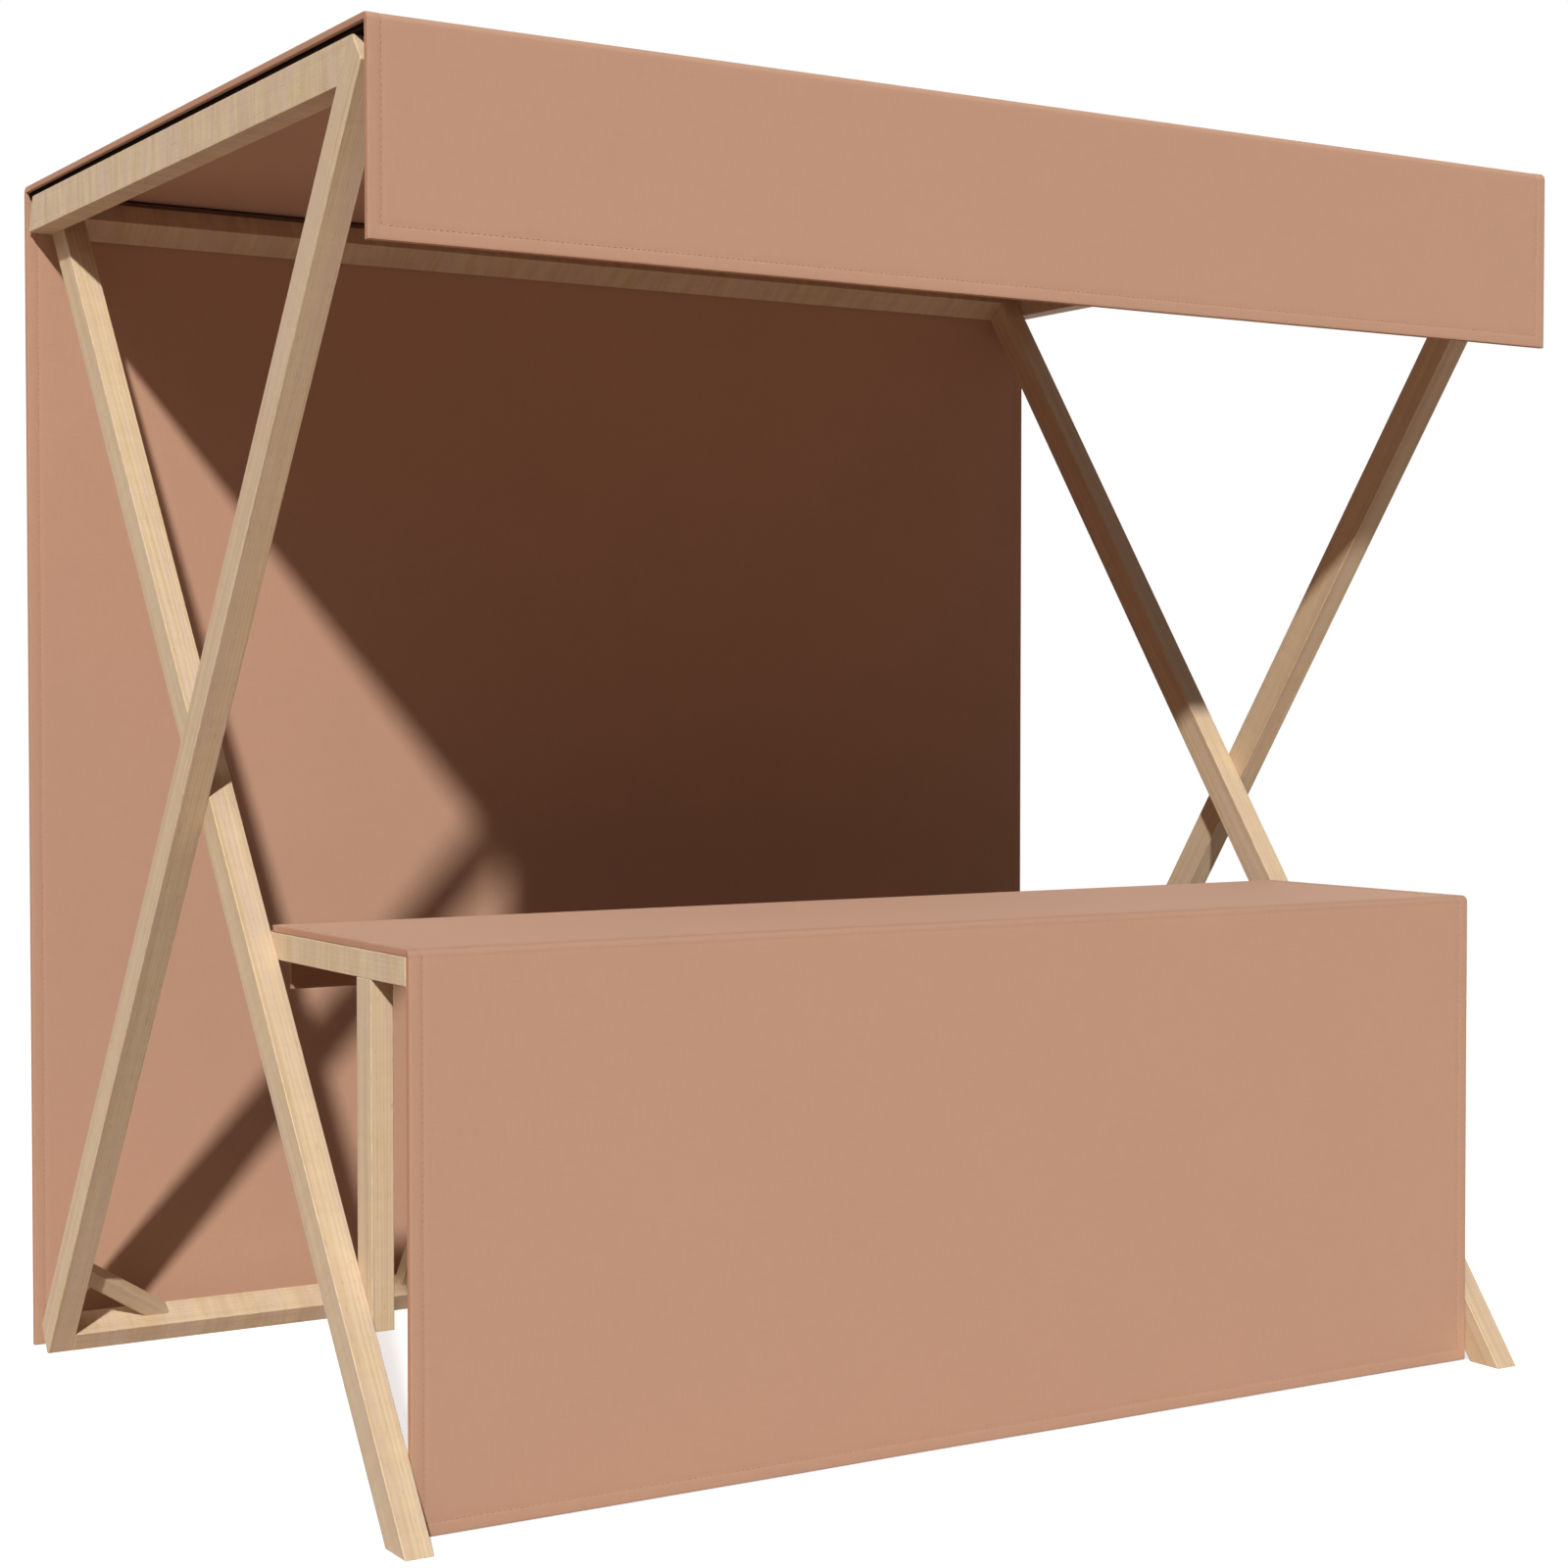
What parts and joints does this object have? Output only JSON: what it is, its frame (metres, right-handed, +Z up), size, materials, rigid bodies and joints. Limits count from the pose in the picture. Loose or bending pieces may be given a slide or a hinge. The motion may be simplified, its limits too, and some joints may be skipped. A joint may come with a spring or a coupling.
{
  "type": "wooden market stall",
  "caption": "Open wooden market stall: crossed-leg side frames carry a flat cloth roof with valance, a hanging back sheet and a cloth-covered counter.",
  "frame": {"origin": "on the ground at the middle of the stall's footprint", "axes": "+X to the seller's left as seen from behind, along the counter; the customers' side faces -Y; +Z up"},
  "size_m": [2.416, 1.6714, 2.278],
  "materials": {
    "pale_timber": "planed, clear matt oil",
    "cover_cloth": "heavy matt canvas, clay brown"
  },
  "bodies": {
    "root": {"left_back_leg": "pale_timber", "right_back_leg": "pale_timber", "left_front_leg": "pale_timber", "right_front_leg": "pale_timber", "left_roof_rail": "pale_timber", "right_roof_rail": "pale_timber", "left_roof_batten": "pale_timber", "right_roof_batten": "pale_timber", "front_roof_beam": "pale_timber", "back_roof_beam": "pale_timber", "back_base_rail": "pale_timber", "left_base_brace": "pale_timber", "right_base_brace": "pale_timber", "left_base_cleat": "pale_timber", "right_base_cleat": "pale_timber", "left_counter_rail": "pale_timber", "right_counter_rail": "pale_timber", "left_counter_post": "pale_timber", "right_counter_post": "pale_timber", "counter_front_rail": "pale_timber", "counter_back_rail": "pale_timber", "counter_board": "pale_timber", "counter_top_cloth": "cover_cloth", "counter_front_cloth": "cover_cloth", "counter_back_cloth": "cover_cloth", "roof_cloth": "cover_cloth", "valance": "cover_cloth", "back_sheet": "cover_cloth"}
  },
  "joints": []
}
